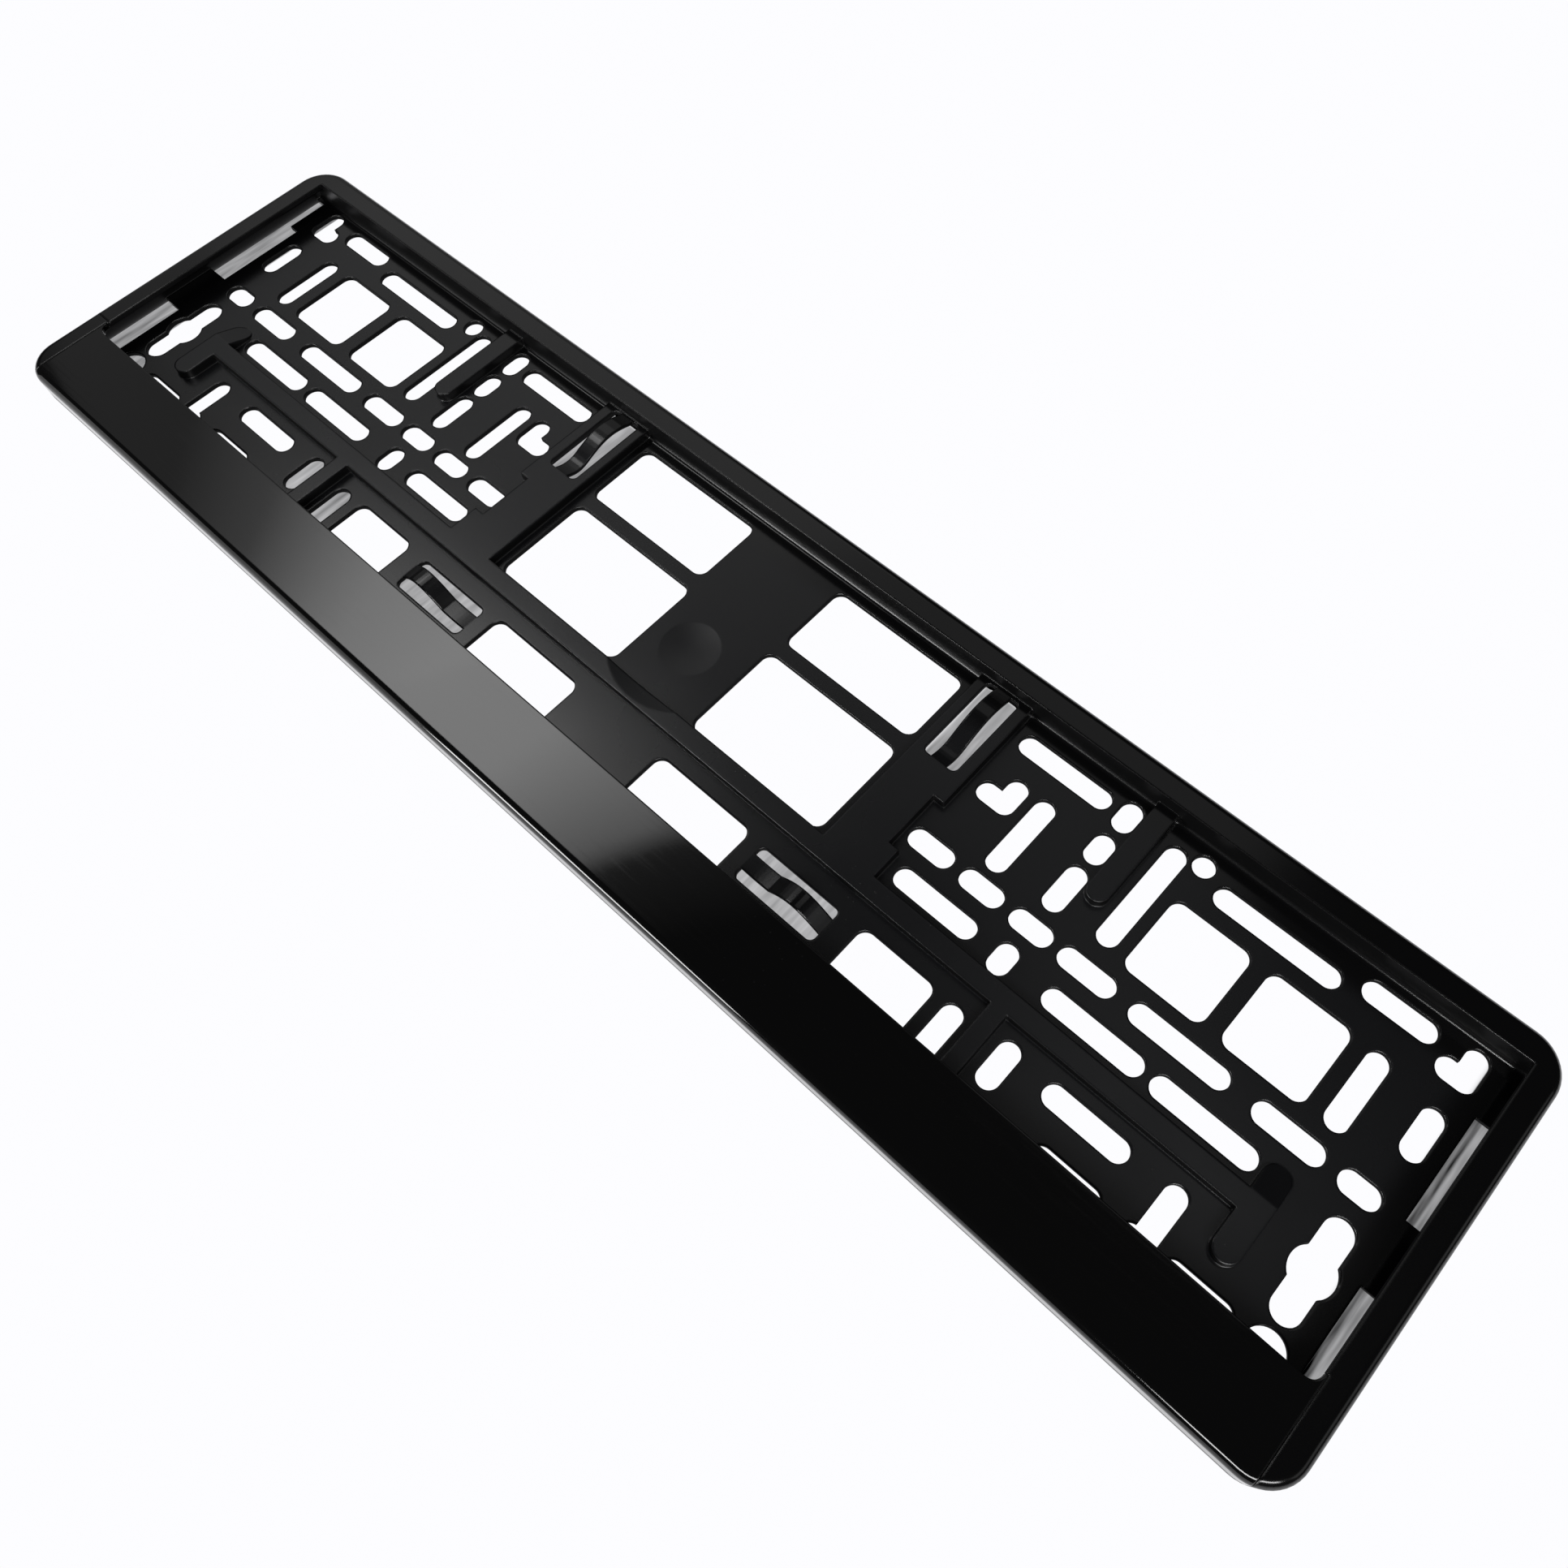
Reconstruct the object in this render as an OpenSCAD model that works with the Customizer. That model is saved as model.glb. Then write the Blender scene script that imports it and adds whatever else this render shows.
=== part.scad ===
// Number plate holder for a car: a perforated base frame and a lower strip that snaps on.
// It lies on its back. X runs along the plate, Y from the lower strip to the top rim,
// Z from the back to the front. The middle of the outline is the origin. Millimetres.

/* [Plate] */
// Length of the number plate the holder takes
plate_l = 520; // [518:1:540]
// Free room at each end of the plate
plate_gap = 3.5; // [2.5:0.1:4.5]

/* [Frame] */
// Height of the holder from the lower edge to the top edge
frame_h = 135.4; // [134:0.2:150]
// Depth from the back to the front of the rims
depth = 10.4; // [9.4:0.2:14]
// Width of the rim face on the top and on both sides
rim_w = 8.6; // [7.6:0.1:9.4]
// Radius of the four outer corners, seen from the front
corner_r = 12; // [9:0.5:16]
// Radius of the rounded outer front edge
edge_r = 2.6; // [1.6:0.1:5]
// Thickness of the outer walls, the lips and the strip
wall = 2.1; // [1.6:0.1:2.6]
// Thickness of the perforated floor
floor_t = 1.6; // [1.2:0.1:2]
// Height of the raised ribs over the floor
rib_h = 3.4; // [2.4:0.1:4.4]

/* [Strip] */
// Width of the lower strip, seen from the front
strip_w = 27.2; // [24:0.2:28]
// Height of the edge of the base that carries the strip
ledge_h = 2.4; // [2:0.1:4]
// Radius of the round in the inner corners between the strip and the side rims
nook_r = 3.6; // [2:0.2:5]
// Gap of the fine seams between the strip and the base
seam = 0.2; // [0.15:0.05:0.4]
// Length of each snap tongue
clip_l = 10; // [7:1:14]

/* [Slots] */
// Width of the fixing slots
slot_w = 7; // [5.5:0.5:7.5]
// Radius in the corners of all windows
window_r = 3.5; // [1:0.5:5]
// Width of the keyhole slots
key_w = 8.8; // [7:0.2:9]
// Diameter of the round lobe of the keyhole slots
key_d = 13; // [10:0.5:13.5]

/* [Springs] */
// Length of the bow springs
bow_l = 30.6; // [28:0.2:32]
// Width of the opening that frees each bow spring
bow_gap_w = 12.3; // [11:0.1:13]
// Width of the springy band
bow_w = 5.8; // [4.5:0.1:6.5]
// Thickness of the springy band
bow_t = 1.1; // [0.9:0.1:1.3]
// Height of the crests of the bands over the raised ribs, where they press on the plate
bow_crest = 2.4; // [1:0.1:3]

/* [Hidden] */
$fn = 32;
eps = 0.01;
half_l = plate_l / 2 + plate_gap + wall;
half_h = frame_h / 2;
lip_x = half_l - rim_w;
top_y = half_h - rim_w;
pocket_x = half_l - wall;
strip_y = strip_w - half_h;
strip_tip = 0.5;
strip_half = lip_x + strip_tip;
inner_edge_r = max(edge_r - wall, 0.3);
lip_z = depth - wall;
rib_z = floor_t + rib_h;
rib_wall = floor_t;
foot_r = 1.5;

// The layout below is drawn for these inner edges of the frame, and spreads with them
drawn_end = 257;
drawn_top = 59.1;
drawn_low = -40.5;

// Rows of slots along X in the right half: middle X, middle Y, whole length
slots_along_x = [
    [225.3, 52.4, 22.7],
    [188.9, 48.3, 40.9],
    [113.5, 50.4, 33.2],
    [99.6, 6, 15.9],
    [118.4, 6, 15],
    [136.3, 6, 14.3],
    [155.8, 6, 19],
    [186.6, 6, 32.1],
    [221, 6, 21.8],
    [242.1, 6, 12.2],
    [111.4, -6.1, 29.3],
    [167.1, -6.1, 33.3],
    [203.1, -6.1, 33.3],
    [180.5, -26.4, 27.4],
    [184.9, -41.2, 21.8],
    [225.7, -41.2, 20.7]
];

// Columns of slots along Y in the right half: X, lower end, upper end
slots_along_y = [
    [136.2, 45.1, 56],
    [136.2, 31.9, 42.7],
    [136.2, 13, 29.7],
    [136.2, -11.5, -1],
    [135.9, -45, -24.5],
    [116.6, 11.8, 39.8],
    [153.9, 14.8, 52.8],
    [154, -37.4, -22.1],
    [228.3, 13.7, 39.7],
    [246.7, 20, 36.4]
];

// Round screw hole
hole_x = 161.8;
hole_y = 52.4;

// Two-legged openings: upright leg X, lower and upper end, then the ends of the level leg
corner_legs = [247.4, 43.9, 57.2, 239.2, 250.9];
inner_legs = [106.6, 27, 39.8, 96.9, 110.1];
foot_legs = [208.8, -44.7, -22.9, 202.3, 212.3];

// Windows: left, right, lower and upper edge
middle_windows = [
    [18.8, 71.3, 28.8, 54.6],
    [17.6, 71.3, -11.6, 23.4],
    [161.4, 187.7, 13.6, 39.9],
    [193.4, 219.7, 13.6, 39.9]
];
// Windows that run down under the strip: left, right and upper edge
low_windows = [
    [18.3, 56.9, -24.4],
    [101, 128.2, -24.4]
];

// Keyhole and round-topped screw openings near the ends
key_x = 244;
key_y0 = -33.5;
key_y1 = -2.3;
key_lobe_y = -18;
arch_x = 245.1;
arch_w = 11.7;
arch_y1 = -35.2;

// Lower ends of what runs down under the strip
low_window_y0 = 17 - half_h;
arch_y0 = 15.7 - half_h;
lip_slot_y0 = 17.7 - half_h;
low_rib_y0 = 11.7 - half_h;

// Raised ribs
bar_y0 = -18.7;
bar_y1 = -12.3;
bar_x = 221;
end_bar_w = 8;
end_bar_y0 = -32;
end_bar_y1 = -2;
low_rib_x = 144.8;
low_rib_w = 5.6;
high_rib_x = 144.1;
high_rib_w = 7.2;
high_rib_y = 22.3;
land_x0 = 74.4;
land_x1 = 94;
nook_x = 90.2;
nook_y0 = -1.7;
nook_y1 = 18;

// Bow springs: two level ones above the strip and two upright ones in the raised lands
level_bow_x = 77.8;
level_bow_y = -31.7;
upright_bow_x = 83.9;
upright_bow_y = top_y - 16.5;
level_dip = 0.4;
upright_dip = 1.5;
bow_round = 2;
bow_kink = 0.35;
bow_steps = 20;

// Snap tongues of the strip and the bars that catch their noses
clip_x = [38, 114, 184, 229];
clip_y = 9.7 - half_h;
clip_t = 1.6;
nose = 1.2;
catch_w = 3;
catch_z = 4;
catch_t = 1.6;

// Openings under the side lips: width, width of the step, and their ends
lip_slot_w = 9;
lip_step_w = 4.7;
lip_slot_y = [7.3, 41];
lip_step_y = 57;
low_lip_slot_y = -13.1;

// Round spot in the middle, sunk like a dish
spot = [-2, 7.8];
spot_d = 20;
spot_depth = 0.6;
dish_r = (spot_d * spot_d / 4 + spot_depth * spot_depth) / (2 * spot_depth);

// Fine line across the left rim
line_y = -36;
line_w = 0.3;

// Places of the layout in the real frame

function fx(x) = x * lip_x / drawn_end;
function fy(y) = y > 0 ? y * top_y / drawn_top : y * strip_y / drawn_low;

// Shapes used all over

module both_sides() {
    children();
    mirror([1, 0, 0]) children();
}

module box(x0, x1, y0, y1, z0, z1) {
    translate([x0, y0, z0]) cube([x1 - x0, y1 - y0, z1 - z0]);
}

module rounded(x0, x1, y0, y1, r) {
    translate([x0 + r, y0]) square([x1 - x0 - 2 * r, y1 - y0]);
    translate([x0, y0 + r]) square([x1 - x0, y1 - y0 - 2 * r]);
    for (x = [x0 + r, x1 - r], y = [y0 + r, y1 - r]) {
        translate([x, y]) circle(r);
    }
}

module slot_x(x, y, length, w = slot_w) {
    translate([x - length / 2 + w / 2, y - w / 2]) square([length - w, w]);
    for (side = [-1, 1]) {
        translate([x + side * (length - w) / 2, y]) circle(d = w);
    }
}

module slot_y(x, y0, y1, w = slot_w) {
    translate([x - w / 2, y0 + w / 2]) square([w, y1 - y0 - w]);
    for (y = [y0 + w / 2, y1 - w / 2]) {
        translate([x, y]) circle(d = w);
    }
}

// Half of the section through a block with a rounded front edge
module soft_section(reach, z, edge) {
    square([reach, z - edge]);
    square([reach - edge, z]);
    translate([reach - edge, z - edge]) circle(edge);
}

// A block with the rounded outline and a rounded front edge
module soft_block(half_x, half_y, z, r, edge) {
    translate([r - half_x, 0, 0]) rotate([90, 0, 90]) linear_extrude(2 * (half_x - r)) {
        soft_section(half_y, z, edge);
        mirror([1, 0]) soft_section(half_y, z, edge);
    }
    both_sides() {
        translate([half_x - r, half_y - r, 0]) rotate([90, 0, 0]) {
            linear_extrude(2 * (half_y - r)) soft_section(r, z, edge);
        }
        translate([half_x - r, half_y - r, 0]) {
            rotate_extrude(angle = 90) soft_section(r, z, edge);
        }
        translate([half_x - r, r - half_y, 0]) {
            rotate([0, 0, -90]) rotate_extrude(angle = 90) soft_section(r, z, edge);
        }
    }
}

// The outer walls and the front face all round, hollow from the back
module shell() {
    difference() {
        soft_block(half_l, half_h, depth, corner_r, edge_r);
        translate([0, 0, -1]) {
            soft_block(pocket_x, half_h - wall, lip_z + 1, corner_r - wall, inner_edge_r);
        }
    }
}

// The room taken by the strip, wider by the gap on its free sides
module strip_room(gap) {
    box(-strip_half - gap, strip_half + gap, -half_h - 1, strip_y + gap, ledge_h, depth + 1);
    both_sides() difference() {
        box(lip_x - nook_r, strip_half + gap, strip_y - 1, strip_y + nook_r + gap,
            lip_z, depth + 1);
        translate([lip_x - nook_r, strip_y + nook_r, lip_z - 1]) cylinder(r = nook_r, h = wall + 3);
    }
}

// Raised ribs seen from the front, drawn in by a margin

module plain_ribs(m) {
    bar_end = fx(bar_x) + end_bar_w / 2;
    land_w = fx(land_x1) - fx(land_x0) - 2 * m;
    low = fy(bar_y0) + 3;
    translate([-bar_end, fy(bar_y0) + m]) square([2 * bar_end, fy(bar_y1) - fy(bar_y0) - 2 * m]);
    both_sides() {
        slot_y(fx(low_rib_x), low_rib_y0 + m, low, low_rib_w - 2 * m);
        rib_from_top(fx(high_rib_x), high_rib_w - 2 * m, fy(high_rib_y) + m);
        translate([fx(land_x0) + m, low]) {
            square([fx(nook_x) - fx(land_x0) - 2 * m, top_y + 1 - low]);
            square([land_w, fy(nook_y0) - low - m]);
        }
        translate([fx(land_x0) + m, fy(nook_y1) + m]) {
            square([land_w, top_y + 1 - fy(nook_y1) - m]);
        }
    }
}

module rib_from_top(x, w, y0) {
    translate([x, y0 + w / 2]) circle(d = w);
    translate([x - w / 2, y0 + w / 2]) square([w, top_y + 1 - y0 - w / 2]);
}

// The end bars slope down to the floor at their upper ends
module end_bars(m, top) {
    y0 = fy(end_bar_y0);
    y1 = fy(end_bar_y1);
    both_sides() intersection() {
        linear_extrude(top) {
            slot_y(fx(bar_x) + end_bar_w / 2, y0 + m, y1 - m, end_bar_w - 2 * m);
        }
        translate([fx(bar_x) - 1, 0, 0]) rotate([90, 0, 90]) linear_extrude(end_bar_w + 2) {
            polygon([
                [y0 - 1, -1],
                [y1, -1],
                [y1, top - rib_h],
                [fy(bar_y1), top],
                [y0 - 1, top]
            ]);
        }
    }
}

// Openings through the floor

module slots() {
    both_sides() {
        for (s = slots_along_x) {
            slot_x(fx(s[0]), fy(s[1]), fx(s[2]));
        }
        for (s = slots_along_y) {
            slot_y(fx(s[0]), fy(s[1]), fy(s[2]));
        }
        for (l = [corner_legs, inner_legs, foot_legs]) {
            slot_y(fx(l[0]), fy(l[1]), fy(l[2]));
            slot_x(fx((l[3] + l[4]) / 2), fy(l[1]) + slot_w / 2, fx(l[4] - l[3]));
        }
        translate([fx(hole_x), fy(hole_y)]) circle(d = slot_w);
        slot_y(fx(key_x), fy(key_y0), fy(key_y1), key_w);
        translate([fx(key_x), fy(key_lobe_y)]) circle(d = key_d);
        slot_y(fx(arch_x), arch_y0, fy(arch_y1), arch_w);
    }
}

module windows() {
    both_sides() {
        for (w = middle_windows) {
            rounded(fx(w[0]), fx(w[1]), fy(w[2]), fy(w[3]), window_r);
        }
        for (w = low_windows) {
            rounded(fx(w[0]), fx(w[1]), low_window_y0, fy(w[2]), window_r);
        }
    }
}

// Long openings under the side lips, where the ends of the plate slide in
module lip_slots() {
    y0 = fy(lip_slot_y[0]);
    both_sides() {
        translate([pocket_x - lip_slot_w, y0]) square([lip_slot_w, fy(lip_slot_y[1]) - y0]);
        translate([pocket_x - lip_step_w, y0]) square([lip_step_w, fy(lip_step_y) - y0]);
        translate([pocket_x - lip_slot_w, lip_slot_y0]) {
            square([lip_slot_w, fy(low_lip_slot_y) - lip_slot_y0]);
        }
    }
}

// The hollow back of the top rim, between its two walls
module top_trough() {
    translate([corner_r - half_l, top_y + wall]) {
        square([2 * (half_l - corner_r), rim_w - 2 * wall]);
    }
}

// Bow springs

function bow_height(t, dip, crest) = t < bow_kink
    ? -dip * sin(180 * t / bow_kink)
    : crest * sin(180 * (t - bow_kink) / (1 - bow_kink));

// A band along X, joined to the floor at both ends, first dipping and then bowed up
module bow(dip, crest) {
    steps = [0 : bow_steps];
    l = bow_l + 0.4;
    upper = [for (i = steps) [l * i / bow_steps - l / 2, bow_height(i / bow_steps, dip, crest)]];
    lower = [for (i = steps) let (k = bow_steps - i)
        [l * k / bow_steps - l / 2, bow_height(k / bow_steps, dip, crest) - bow_t]];
    translate([0, bow_w / 2, 0]) rotate([90, 0, 0]) linear_extrude(bow_w) {
        polygon(concat(upper, lower));
    }
}

module bow_room() {
    translate([0, 0, -20]) linear_extrude(40) {
        rounded(-bow_l / 2, bow_l / 2, -bow_gap_w / 2, bow_gap_w / 2, bow_round);
    }
}

module at_level_bows() {
    both_sides() translate([fx(level_bow_x), fy(level_bow_y), floor_t]) children();
}

module at_upright_bows() {
    both_sides() translate([fx(upright_bow_x), upright_bow_y, rib_z]) rotate(90) children();
}

// Catches of the base: a bar over a window, under which the nose of a tongue snaps
module catches() {
    y0 = clip_y + clip_t / 2 + seam;
    both_sides() for (x = clip_x * lip_x / drawn_end) {
        box(x - clip_l / 2 - 2, x + clip_l / 2 + 2, y0, y0 + catch_w, catch_z - catch_t, catch_z);
        for (side = [-1, 1]) {
            translate([x + side * (clip_l / 2 + 1.25), 0, 0]) {
                box(-0.75, 0.75, y0, y0 + catch_w, 0, catch_z);
            }
        }
    }
}

module catch_windows() {
    both_sides() for (x = clip_x * lip_x / drawn_end) {
        translate([x - clip_l / 2 - 0.5, clip_y - clip_t / 2 - 0.5]) {
            square([clip_l + 1, clip_t + catch_w + 1.5]);
        }
    }
}

// Base frame: floor, ribs, top rim, side rims and springs in one moulding
module base_frame() {
    color([0.11, 0.11, 0.12]) {
        difference() {
            union() {
                base_rims();
                base_floor();
                catches();
            }
            at_level_bows() bow_room();
            at_upright_bows() bow_room();
        }
        at_level_bows() bow(level_dip, bow_crest + rib_h);
        at_upright_bows() bow(upright_dip, bow_crest);
    }
}

module base_rims() {
    difference() {
        shell();
        box(-lip_x, lip_x, strip_y, top_y, -1, depth + 1);
        strip_room(seam);
        box(-half_l - 1, 1 - lip_x, fy(line_y) - line_w / 2, fy(line_y) + line_w / 2,
            depth - line_w, depth + 1);
    }
    box(-pocket_x - eps, pocket_x + eps, top_y, top_y + wall, 0, lip_z + eps);
    translate([-pocket_x - eps, top_y + eps, floor_t - eps]) rotate([90, 0, 90]) {
        linear_extrude(2 * (pocket_x + eps)) difference() {
            translate([-foot_r, 0]) square(foot_r);
            translate([-foot_r, foot_r]) circle(foot_r);
        }
    }
}

module base_floor() {
    difference() {
        union() {
            linear_extrude(floor_t) rounded(-half_l, half_l, -half_h, half_h, corner_r);
            linear_extrude(rib_z) plain_ribs(0);
            end_bars(0, rib_z);
        }
        translate([0, 0, -1]) linear_extrude(rib_z + 2) {
            slots();
            windows();
        }
        translate([0, 0, -1]) linear_extrude(floor_t + 2) {
            lip_slots();
            catch_windows();
            top_trough();
        }
        translate([0, 0, -1]) {
            linear_extrude(rib_h + 1) plain_ribs(rib_wall);
            end_bars(rib_wall, rib_h + 1);
        }
        translate([fx(spot[0]), fy(spot[1]), floor_t - spot_depth + dish_r]) sphere(dish_r);
    }
}

// Lower strip: front face, outer wall and snap tongues in one moulding
module lower_strip() {
    color([0.05, 0.05, 0.05]) {
        intersection() {
            shell();
            strip_room(0);
        }
        tongues();
    }
}

module tongues() {
    nose_t = 1.2;
    z0 = catch_z - catch_t - seam - nose_t;
    both_sides() for (x = clip_x * lip_x / drawn_end) {
        box(x - clip_l / 2, x + clip_l / 2, clip_y - clip_t / 2, clip_y + clip_t / 2,
            z0, lip_z + eps);
        box(x - clip_l / 2, x + clip_l / 2, clip_y, clip_y + clip_t / 2 + seam + nose,
            z0, z0 + nose_t);
    }
}

base_frame();
lower_strip();
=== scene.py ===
# Looks of the number plate holder: materials, floor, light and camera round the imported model
import math

import bpy
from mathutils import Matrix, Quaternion, Vector

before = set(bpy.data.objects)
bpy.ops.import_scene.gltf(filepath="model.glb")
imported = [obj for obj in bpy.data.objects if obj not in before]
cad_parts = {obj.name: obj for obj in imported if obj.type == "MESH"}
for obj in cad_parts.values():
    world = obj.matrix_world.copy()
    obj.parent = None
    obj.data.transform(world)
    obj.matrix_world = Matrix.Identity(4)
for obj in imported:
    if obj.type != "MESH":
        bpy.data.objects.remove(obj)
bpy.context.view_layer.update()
print("frame loaded")


# Helpers for node trees: an input is fed by another node's output, or holds a number or colour
def addNode(tree, kind, place, **values):
    node = tree.nodes.new(kind)
    node.location = place
    for name, value in values.items():
        setattr(node, name, value)
    return node


def feed(tree, socket, value):
    if isinstance(value, bpy.types.NodeSocket):
        tree.links.new(value, socket)
    else:
        socket.default_value = value


def addMath(tree, operation, place, *operands):
    node = addNode(tree, "ShaderNodeMath", place, operation=operation)
    for socket, operand in zip(node.inputs, operands):
        feed(tree, socket, operand)
    return node.outputs["Value"]


# Least or greatest of several outputs, two at a time
def addChain(tree, operation, place, sources):
    chosen = sources[0]
    for source in sources[1:]:
        chosen = addMath(tree, operation, place, chosen, source)
    return chosen


# A value carried from one range to another, held at the ends
def addRange(tree, place, source, before, after=(0, 1), **values):
    node = addNode(tree, "ShaderNodeMapRange", place, **values)
    for name, value in zip(("From Min", "From Max", "To Min", "To Max"), (*before, *after)):
        feed(tree, node.inputs[name], value)
    feed(tree, node.inputs["Value"], source)
    return node.outputs["Result"]


# Blend of two colours or two numbers by a mask
def addMix(tree, kind, place, mask, first, second):
    node = addNode(tree, "ShaderNodeMix", place, data_type=kind)
    for name, value in (("Factor", mask), ("A", first), ("B", second)):
        feed(tree, node.inputs[name], value)
    return node.outputs["Result"]


def addNoise(tree, place, vector, scale, detail=2):
    node = addNode(tree, "ShaderNodeTexNoise", place)
    node.inputs["Scale"].default_value = scale
    node.inputs["Detail"].default_value = detail
    tree.links.new(vector, node.inputs["Vector"])
    return node.outputs["Fac"]


# Noise drawn out into streaks by a stretch of its coordinates
def addStreaks(tree, place, vector, stretch):
    mapping = addNode(tree, "ShaderNodeMapping", place)
    mapping.inputs["Scale"].default_value = stretch
    tree.links.new(vector, mapping.inputs["Vector"])
    return addNoise(tree, (place[0] + 200, place[1]), mapping.outputs["Vector"], scale=1)


def addMixShader(tree, place, mask, first, second):
    node = addNode(tree, "ShaderNodeMixShader", place)
    tree.links.new(mask, node.inputs["Fac"])
    tree.links.new(first, node.inputs[1])
    tree.links.new(second, node.inputs[2])
    return node.outputs["Shader"]


def newMaterial(name):
    material = bpy.data.materials.new(name)
    material.use_nodes = True
    material.node_tree.nodes.clear()
    return material


def opaque(color):
    return (*color, 1)


# Group that puts out numbers which change over the surface
def newGroup(name, outputs):
    group = bpy.data.node_groups.new(name, "ShaderNodeTree")
    for output in outputs:
        group.interface.new_socket(output, in_out="OUTPUT", socket_type="NodeSocketFloat")
    return group


# Moulded grain: orange peel with a share of fine grain as a height, and clouds for the gloss
grainSettings = {
    "peelScale": 160,
    "fineScale": 1400,
    "fineDetail": 3,
    "fineShare": 0.25,
    "cloudScale": 22,
    "cloudDetail": 4,
    "depth": 0.0002,
}


def makeGrainGroup():
    settings = grainSettings
    group = newGroup("MoldedGrain", ("Height", "Mottle"))
    place = addNode(group, "ShaderNodeTexCoord", (-800, 0)).outputs["Object"]
    peel = addNoise(group, (-500, 200), place, settings["peelScale"])
    fine = addNoise(group, (-500, -100), place, settings["fineScale"], settings["fineDetail"])
    clouds = addNoise(group, (-500, -400), place, settings["cloudScale"], settings["cloudDetail"])
    height = addMath(group, "MULTIPLY_ADD", (0, 100), fine, settings["fineShare"], peel)
    result = addNode(group, "NodeGroupOutput", (800, 0))
    group.links.new(height, result.inputs["Height"])
    group.links.new(clouds, result.inputs["Mottle"])
    return group


# Fine dust: round specks that gather in patches, and streaks along the part
dustSettings = {
    "speckScale": 420,
    "speckEdge": (0.12, 0.02),
    "patchScale": 30,
    "patchEdge": (0.55, 0.75),
    "streakStretch": (40, 900, 200),
    "streakEdge": (0.5, 0.8),
}


def makeDustGroup():
    settings = dustSettings
    group = newGroup("FineDust", ("Dust", "Streaks"))
    place = addNode(group, "ShaderNodeTexCoord", (-900, 0)).outputs["Object"]
    cells = addNode(group, "ShaderNodeTexVoronoi", (-500, 200))
    cells.inputs["Scale"].default_value = settings["speckScale"]
    group.links.new(place, cells.inputs["Vector"])
    specks = addRange(group, (-200, 200), cells.outputs["Distance"], settings["speckEdge"])
    clouds = addNoise(group, (-500, -100), place, settings["patchScale"])
    patches = addRange(group, (-200, -100), clouds, settings["patchEdge"])
    lines = addStreaks(group, (-700, -400), place, settings["streakStretch"])
    result = addNode(group, "NodeGroupOutput", (900, 0))
    group.links.new(addMath(group, "MULTIPLY", (100, 100), specks, patches), result.inputs["Dust"])
    group.links.new(addRange(group, (-200, -400), lines, settings["streakEdge"]), result.inputs["Streaks"])
    return group


grainGroup = makeGrainGroup()
dustGroup = makeDustGroup()

# What both plastics share
plasticSettings = {"ior": 1.5, "edgeSamples": 8}


# Rounded edges and moulded grain, as a normal for a plastic
def plasticNormal(tree, grain, edge, strength):
    rounding = addNode(tree, "ShaderNodeBevel", (-400, -500), samples=plasticSettings["edgeSamples"])
    rounding.inputs["Radius"].default_value = edge
    bump = addNode(tree, "ShaderNodeBump", (-150, -400))
    bump.inputs["Strength"].default_value = strength
    bump.inputs["Distance"].default_value = grainSettings["depth"]
    tree.links.new(grain.outputs["Height"], bump.inputs["Height"])
    tree.links.new(rounding.outputs["Normal"], bump.inputs["Normal"])
    return bump.outputs["Normal"]


# Grain and dust groups placed in a plastic's own tree
def addGroups(tree):
    grain = addNode(tree, "ShaderNodeGroup", (-900, -200), node_tree=grainGroup)
    dust = addNode(tree, "ShaderNodeGroup", (-900, -400), node_tree=dustGroup)
    return grain, dust


def finishPlastic(tree, color, roughness, normal):
    plastic = addNode(tree, "ShaderNodeBsdfPrincipled", (350, 0))
    plastic.inputs["IOR"].default_value = plasticSettings["ior"]
    tree.links.new(color, plastic.inputs["Base Color"])
    tree.links.new(roughness, plastic.inputs["Roughness"])
    tree.links.new(normal, plastic.inputs["Normal"])
    result = addNode(tree, "ShaderNodeOutputMaterial", (700, 0))
    tree.links.new(plastic.outputs["BSDF"], result.inputs["Surface"])


# Base plastic: satin floor, glossier and darker rims, upright walls dull and with painted shade darkening
# their colour
baseSettings = {
    "color": (0.0055, 0.0057, 0.0065),
    "roughness": (0.2, 0.32),  # from the darkest to the lightest clouds of the grain
    "rimColor": (0.002, 0.002, 0.0022),
    "rimRoughness": 0.14,
    "rimHeight": (0.0056, 0.0078),
    "rimAcross": (0.046, 0.053),
    "rimAlong": (0.243, 0.251),
    "wallShadeColor": (0.003, 0.003, 0.0032),
    "wallRoughness": 0.34,
    "wallSlope": (0.9, 0.4),
    "dustColor": (0.11, 0.11, 0.105),
    "dustShare": 0.35,
    "edge": 0.0009,
    "bump": 0.016,
}


# Mask of the rims: high up, or near the top edge or either end
def maskRims(tree, place):
    split = addNode(tree, "ShaderNodeSeparateXYZ", (-1000, 200))
    tree.links.new(place.outputs["Object"], split.inputs["Vector"])
    along = addMath(tree, "ABSOLUTE", (-900, 500), split.outputs["X"])
    sources = {"rimHeight": split.outputs["Z"], "rimAcross": split.outputs["Y"], "rimAlong": along}
    reaches = []
    for key, source in sources.items():
        reach = addRange(tree, (-800, 200), source, baseSettings[key], interpolation_type="SMOOTHSTEP")
        reaches.append(reach)
    return addChain(tree, "MAXIMUM", (-600, 300), reaches)


# Mask of the upright walls, by how level the surface lies; it sets their roughness and a painted shade on
# their colour
def maskWalls(tree, place):
    split = addNode(tree, "ShaderNodeSeparateXYZ", (-1000, 700))
    tree.links.new(place.outputs["Normal"], split.inputs["Vector"])
    level = addMath(tree, "ABSOLUTE", (-800, 700), split.outputs["Z"])
    return addRange(tree, (-600, 700), level, baseSettings["wallSlope"])


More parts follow.
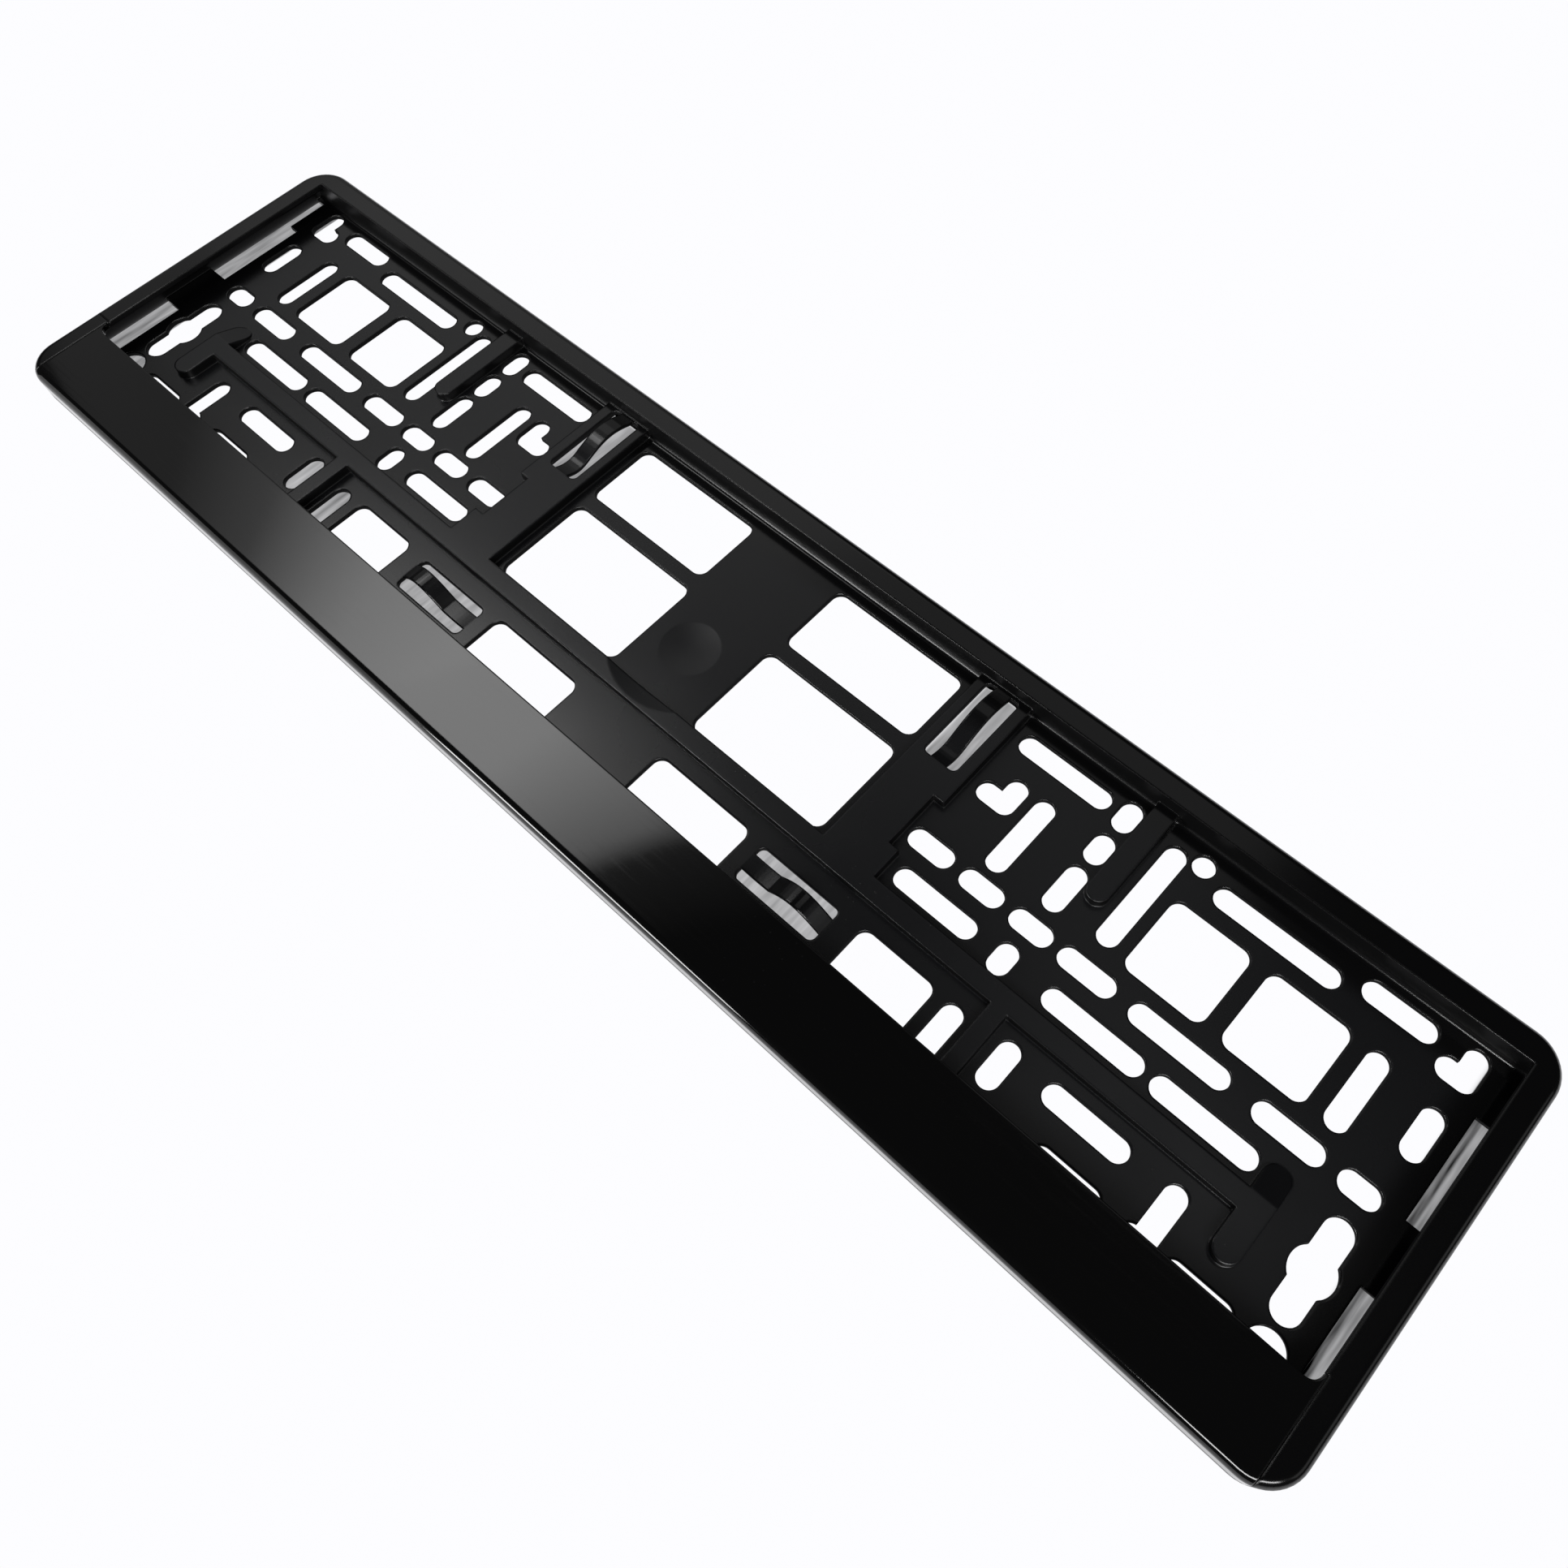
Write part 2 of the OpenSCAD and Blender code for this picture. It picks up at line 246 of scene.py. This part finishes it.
def makeBasePlastic():
    settings = baseSettings
    material = newMaterial("basePlastic")
    tree = material.node_tree
    grain, dust = addGroups(tree)
    place = addNode(tree, "ShaderNodeTexCoord", (-1200, 200))
    rims = maskRims(tree, place)
    walls = maskWalls(tree, place)
    smooth, dull = settings["roughness"]
    rough = addMath(tree, "MULTIPLY_ADD", (-600, 0), grain.outputs["Mottle"], dull - smooth, smooth)
    rough = addMix(tree, "FLOAT", (-300, 0), rims, rough, settings["rimRoughness"])
    rough = addMix(tree, "FLOAT", (-150, 0), walls, rough, settings["wallRoughness"])
    plain, rim = opaque(settings["color"]), opaque(settings["rimColor"])
    color = addMix(tree, "RGBA", (-300, 250), rims, plain, rim)
    # Painted shade: upright walls take a darker colour than the floor
    color = addMix(tree, "RGBA", (-150, 250), walls, color, opaque(settings["wallShadeColor"]))
    thinDust = addMath(tree, "MULTIPLY", (-200, 450), dust.outputs["Dust"], settings["dustShare"])
    color = addMix(tree, "RGBA", (0, 250), thinDust, color, opaque(settings["dustColor"]))
    finishPlastic(tree, color, rough, plasticNormal(tree, grain, settings["edge"], settings["bump"]))
    return material


# Strip plastic: polished black with faint streaks and specks of dust
stripSettings = {
    "color": (0.0022, 0.0022, 0.0023),
    "dustColor": (0.02, 0.02, 0.021),
    "roughness": (0.055, 0.105),  # between the streaks and on them
    "edge": 0.0006,
    "bump": 0.012,
}


def makeStripPlastic():
    settings = stripSettings
    material = newMaterial("stripPlastic")
    tree = material.node_tree
    grain, dust = addGroups(tree)
    clean, dusty = opaque(settings["color"]), opaque(settings["dustColor"])
    color = addMix(tree, "RGBA", (0, 250), dust.outputs["Dust"], clean, dusty)
    smooth, dull = settings["roughness"]
    rough = addMath(tree, "MULTIPLY_ADD", (-300, 0), dust.outputs["Streaks"], dull - smooth, smooth)
    finishPlastic(tree, color, rough, plasticNormal(tree, grain, settings["edge"], settings["bump"]))
    return material


def dress(node, material):
    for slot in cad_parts[node].material_slots:
        slot.material = material


dress("base_frame", makeBasePlastic())
dress("lower_strip", makeStripPlastic())
print("materials made")

# White background and pale floor, dim surroundings for reflections
backgroundSettings = {
    "color": (0.98, 0.98, 1.0),
    "ambient": 0.03,
    "floorSize": 6.0,
    "floorDrop": 0.0004,
}

# Shaded spots of the pale floor, seen through narrow openings: edges in X and Y, softness, tone
shadeSettings = {
    "leftLip": (-0.2648, -0.25, -0.0515, 0.058, 0.0006, 0.33),
    "rightLip": (0.2505, 0.2645, -0.0515, 0.058, 0.0006, 0.3),
    "rightLipInner": (0.2495, 0.26, -0.0515, 0.058, 0.004, 0.12),
    "leftArch": (-0.2535, -0.2385, -0.052, -0.0345, 0.0005, 0.36),
    "leftLowSlotA": (-0.161, -0.15, -0.0395, -0.021, 0.0006, 0.42),
    "leftLowSlotB": (-0.142, -0.1312, -0.0465, -0.0235, 0.0006, 0.34),
    "leftLevelBow": (-0.097, -0.0605, -0.04, -0.024, 0.0006, 0.42),
    "rightLevelBow": (0.0605, 0.097, -0.04, -0.024, 0.0006, 0.42),
    "leftUprightBow": (-0.0945, -0.0755, 0.026, 0.06, 0.002, 0.38),
    "rightUprightBow": (0.0755, 0.0945, 0.026, 0.06, 0.002, 0.38),
}
# Painted shadow on the floor under the part, as its mirror images meet it, given in the same way
footprintShadowSettings = (-0.264, 0.264, -0.066, 0.066, 0.004, 0.1)
streakSettings = {"stretch": (420, 45, 1), "edge": (0.25, 0.75), "strength": 0.24}


# How far a place lies inside a box with soft edges
def makeSpotGroup():
    group = newGroup("ShadedSpot", ("Inside",))
    for name in ("X", "Y", "Low X", "High X", "Low Y", "High Y", "Softness"):
        group.interface.new_socket(name, in_out="INPUT", socket_type="NodeSocketFloat")
    source = addNode(group, "NodeGroupInput", (-900, 0)).outputs
    depths = []
    for larger, smaller in (("X", "Low X"), ("High X", "X"), ("Y", "Low Y"), ("High Y", "Y")):
        depths.append(addMath(group, "SUBTRACT", (-600, 0), source[larger], source[smaller]))
    least = addChain(group, "MINIMUM", (-300, 0), depths)
    inside = addRange(group, (500, 0), least, (0, source["Softness"]), interpolation_type="SMOOTHSTEP")
    result = addNode(group, "NodeGroupOutput", (900, 0))
    group.links.new(inside, result.inputs["Inside"])
    return group


# Tone of the floor round one shaded spot: its level inside, 1 outside
def shadeSpot(tree, split, spotGroup, row, spotValues):
    *edges, level = spotValues
    spot = addNode(tree, "ShaderNodeGroup", (-1300, -250 * row), node_tree=spotGroup)
    for name, value in zip(("Low X", "High X", "Low Y", "High Y", "Softness"), edges):
        spot.inputs[name].default_value = value
    for axis in ("X", "Y"):
        tree.links.new(split.outputs[axis], spot.inputs[axis])
    return addRange(tree, (-1000, -250 * row), spot.outputs["Inside"], (0, 1), (1, level))


# Faint streaks in the shaded spots, none where the floor is white
def streakShade(tree, place, tone):
    strength = streakSettings["strength"]
    lines = addStreaks(tree, (-1500, 700), place.outputs["Object"], streakSettings["stretch"])
    swing = addRange(tree, (-1100, 700), lines, streakSettings["edge"], (-strength, strength))
    darkness = addMath(tree, "SUBTRACT", (-900, 700), 1, tone)
    return addMath(tree, "MULTIPLY_ADD", (-700, 700), darkness, swing, tone)


# Tone of the pale floor: the painted shaded spots for the camera, a painted shadow over the whole
# footprint for mirror images
def shadeFloor(tree):
    place = addNode(tree, "ShaderNodeTexCoord", (-1800, 0))
    split = addNode(tree, "ShaderNodeSeparateXYZ", (-1600, 0))
    tree.links.new(place.outputs["Object"], split.inputs["Vector"])
    spotGroup = makeSpotGroup()
    # Painted shadow over the footprint, seen by every ray but the camera's
    mirrored = shadeSpot(tree, split, spotGroup, -1, footprintShadowSettings)
    tones = []
    for row, spotValues in enumerate(shadeSettings.values()):
        tones.append(shadeSpot(tree, split, spotGroup, row, spotValues))
    seen = streakShade(tree, place, addChain(tree, "MINIMUM", (-700, 0), tones))
    ray = addNode(tree, "ShaderNodeLightPath", (-600, 400))
    return addMix(tree, "FLOAT", (-300, 100), ray.outputs["Is Camera Ray"], mirrored, seen)


# Pale floor, white to the camera and seen through from below
def makeFloor():
    settings = backgroundSettings
    material = newMaterial("paleFloor")
    tree = material.node_tree
    glow = addNode(tree, "ShaderNodeEmission", (0, 100))
    glow.inputs["Color"].default_value = opaque(settings["color"])
    tree.links.new(shadeFloor(tree), glow.inputs["Strength"])
    clear = addNode(tree, "ShaderNodeBsdfTransparent", (0, -100))
    side = addNode(tree, "ShaderNodeNewGeometry", (0, 300))
    surface = addMixShader(
        tree, (300, 0), side.outputs["Backfacing"], glow.outputs["Emission"], clear.outputs["BSDF"])
    result = addNode(tree, "ShaderNodeOutputMaterial", (600, 0))
    tree.links.new(surface, result.inputs["Surface"])
    bpy.ops.object.select_all(action="DESELECT")
    bpy.ops.mesh.primitive_plane_add(size=settings["floorSize"], location=(0, 0, -settings["floorDrop"]))
    floor = bpy.context.object
    floor.name = "floor"
    floor.data.materials.append(material)


def makeWorld():
    settings = backgroundSettings
    world = bpy.data.worlds.new("studio")
    world.use_nodes = True
    bpy.context.scene.world = world
    tree = world.node_tree
    tree.nodes.clear()
    seen = addNode(tree, "ShaderNodeBackground", (0, 100))
    seen.inputs["Color"].default_value = opaque(settings["color"])
    dim = addNode(tree, "ShaderNodeBackground", (0, -100))
    dim.inputs["Color"].default_value = (1, 1, 1, 1)
    dim.inputs["Strength"].default_value = settings["ambient"]
    ray = addNode(tree, "ShaderNodeLightPath", (0, 400))
    mask = ray.outputs["Is Camera Ray"]
    surface = addMixShader(tree, (300, 0), mask, dim.outputs["Background"], seen.outputs["Background"])
    result = addNode(tree, "ShaderNodeOutputWorld", (600, 0))
    tree.links.new(surface, result.inputs["Surface"])


# Rectangular lamps: each faces the part, or straight down where it hangs level
lampSettings = {
    "leftWall": {"place": (-1.3, 0.7, 0.9), "size": (1.4, 1.4), "radiance": 0.22},
    "backSheet": {"place": (-1.05, 0.95, 1.6), "size": (2.3, 0.8), "radiance": 0.26, "level": True},
    "backRight": {"place": (0.21, 0.36, 1.5), "size": (0.5, 0.16), "radiance": 0.7, "level": True},
    "backLeft": {"place": (-1.9, 0.95, 1.6), "size": (1.2, 0.8), "radiance": 0.26, "level": True},
    "frontLeft": {"place": (-1.0, -1.1, 0.35), "size": (1.2, 0.7), "radiance": 0.8},
    "edgeLight": {"place": (-0.42, -0.95, 0.34), "size": (0.45, 0.22), "radiance": 18.0},
    "keyRight": {"place": (0.71, -0.69, 0.85), "size": (0.9, 0.16), "radiance": 22.0},
    "rightWall": {"place": (1.3, 0.2, 0.75), "size": (0.9, 0.5), "radiance": 0.5},
}


def makeLamp(name, place, size, radiance, level=False):
    lamp = bpy.data.lights.new(name, "AREA")
    lamp.shape = "RECTANGLE"
    lamp.size = size[0]
    lamp.size_y = size[1]
    lamp.energy = radiance * math.pi * size[0] * size[1]
    holder = bpy.data.objects.new(name, lamp)
    holder.location = place
    direction = Vector((0, 0, -1)) if level else -Vector(place)
    holder.rotation_euler = direction.to_track_quat("-Z", "Y").to_euler()
    bpy.context.scene.collection.objects.link(holder)


# Sheet of light mirrored in the strip: glow holds the X and radiance of its stops, on leaning lines
softboxSettings = {
    "height": 0.6,
    "low": (-0.9, -0.02),
    "high": (-0.12, 0.09),
    "middle": 0.042,
    "rightEdge": -0.24,
    "rightLean": 0.5,
    "leanChange": 2.3,
    "brightest": 4.25,
    "glow": (
        (-0.88, 0.0),
        (-0.75, 0.5),
        (-0.69, 1.5),
        (-0.6, 3.3),
        (-0.5, 4.25),
        (-0.38, 4.25),
        (-0.255, 1.9),
        (-0.23, 0.15),
        (-0.14, 0.0),
    ),
}


# Glow of the sheet at each place, along lines that lean more toward its ends
def makeSoftboxGlow(tree):
    settings = softboxSettings
    low, high = settings["low"][0], settings["high"][0]
    place = addNode(tree, "ShaderNodeTexCoord", (-1500, 0))
    split = addNode(tree, "ShaderNodeSeparateXYZ", (-1300, 0))
    tree.links.new(place.outputs["Object"], split.inputs["Vector"])
    across = addMath(tree, "SUBTRACT", (-1100, 200), split.outputs["Y"], settings["middle"])
    startLean = settings["rightLean"] - settings["leanChange"] * settings["rightEdge"]
    lean = addMath(tree, "MULTIPLY_ADD", (-1100, 0), split.outputs["X"], settings["leanChange"], startLean)
    shift = addMath(tree, "MULTIPLY", (-900, 100), across, lean)
    along = addMath(tree, "SUBTRACT", (-700, 0), split.outputs["X"], shift)
    ramp = addNode(tree, "ShaderNodeValToRGB", (-300, 0))
    tree.links.new(addRange(tree, (-500, 0), along, (low, high)), ramp.inputs["Fac"])
    stops = ramp.color_ramp.elements
    stops.remove(stops[1])
    stops[0].position = 0
    stops[0].color = (0, 0, 0, 1)
    for start, radiance in settings["glow"]:
        stop = stops.new((start - low) / (high - low))
        tone = radiance / settings["brightest"]
        stop.color = (tone, tone, tone, 1)
    return ramp.outputs["Color"]


# Sheet of light that only mirror images show; the camera looks through it
def makeSoftbox():
    settings = softboxSettings
    material = newMaterial("softboxGlow")
    tree = material.node_tree
    glow = addNode(tree, "ShaderNodeEmission", (100, 100))
    glow.inputs["Strength"].default_value = settings["brightest"]
    tree.links.new(makeSoftboxGlow(tree), glow.inputs["Color"])
    clear = addNode(tree, "ShaderNodeBsdfTransparent", (100, -200))
    both = addNode(tree, "ShaderNodeAddShader", (400, 100))
    tree.links.new(glow.outputs["Emission"], both.inputs[0])
    tree.links.new(clear.outputs["BSDF"], both.inputs[1])
    ray = addNode(tree, "ShaderNodeLightPath", (400, 500))
    surface = addMixShader(
        tree, (650, 0), ray.outputs["Is Camera Ray"], both.outputs["Shader"], clear.outputs["BSDF"])
    result = addNode(tree, "ShaderNodeOutputMaterial", (900, 0))
    tree.links.new(surface, result.inputs["Surface"])
    low, high = Vector(settings["low"]), Vector(settings["high"])
    bpy.ops.object.select_all(action="DESELECT")
    bpy.ops.mesh.primitive_plane_add(size=1, location=(*(low + high) / 2, settings["height"]))
    sheet = bpy.context.object
    sheet.name = "softbox"
    sheet.scale = (*(high - low), 1)
    bpy.ops.object.transform_apply(location=True, rotation=False, scale=True)
    sheet.data.materials.append(material)


# Camera as fitted to the photo; the side shift follows the photo's off-centre framing
cameraSettings = {
    "place": (0.191, -0.1028, 0.3305),
    "aim": (0.0751, 0.0118, 0.0016),
    "roll": 3.86,
    "focalPixels": 1530.4,
    "imagePixels": 1932,
    "shiftPixels": 120,
    "sensor": 36,
    "nearest": 0.01,
    "farthest": 50,
}


def makeCamera():
    settings = cameraSettings
    data = bpy.data.cameras.new("camera")
    data.sensor_width = settings["sensor"]
    data.lens = settings["focalPixels"] / settings["imagePixels"] * settings["sensor"]
    data.shift_x = -settings["shiftPixels"] / settings["imagePixels"]
    data.clip_start = settings["nearest"]
    data.clip_end = settings["farthest"]
    camera = bpy.data.objects.new("camera", data)
    place = Vector(settings["place"])
    look = (Vector(settings["aim"]) - place).to_track_quat("-Z", "Y")
    roll = Quaternion((0, 0, 1), -math.radians(settings["roll"]))
    camera.location = place
    camera.rotation_mode = "QUATERNION"
    camera.rotation_quaternion = look @ roll
    bpy.context.scene.collection.objects.link(camera)
    bpy.context.scene.camera = camera


makeFloor()
makeWorld()
for lampName, lampValues in lampSettings.items():
    makeLamp(lampName, **lampValues)
makeSoftbox()
makeCamera()
bpy.context.scene.view_settings.view_transform = "Standard"
print("stage made")
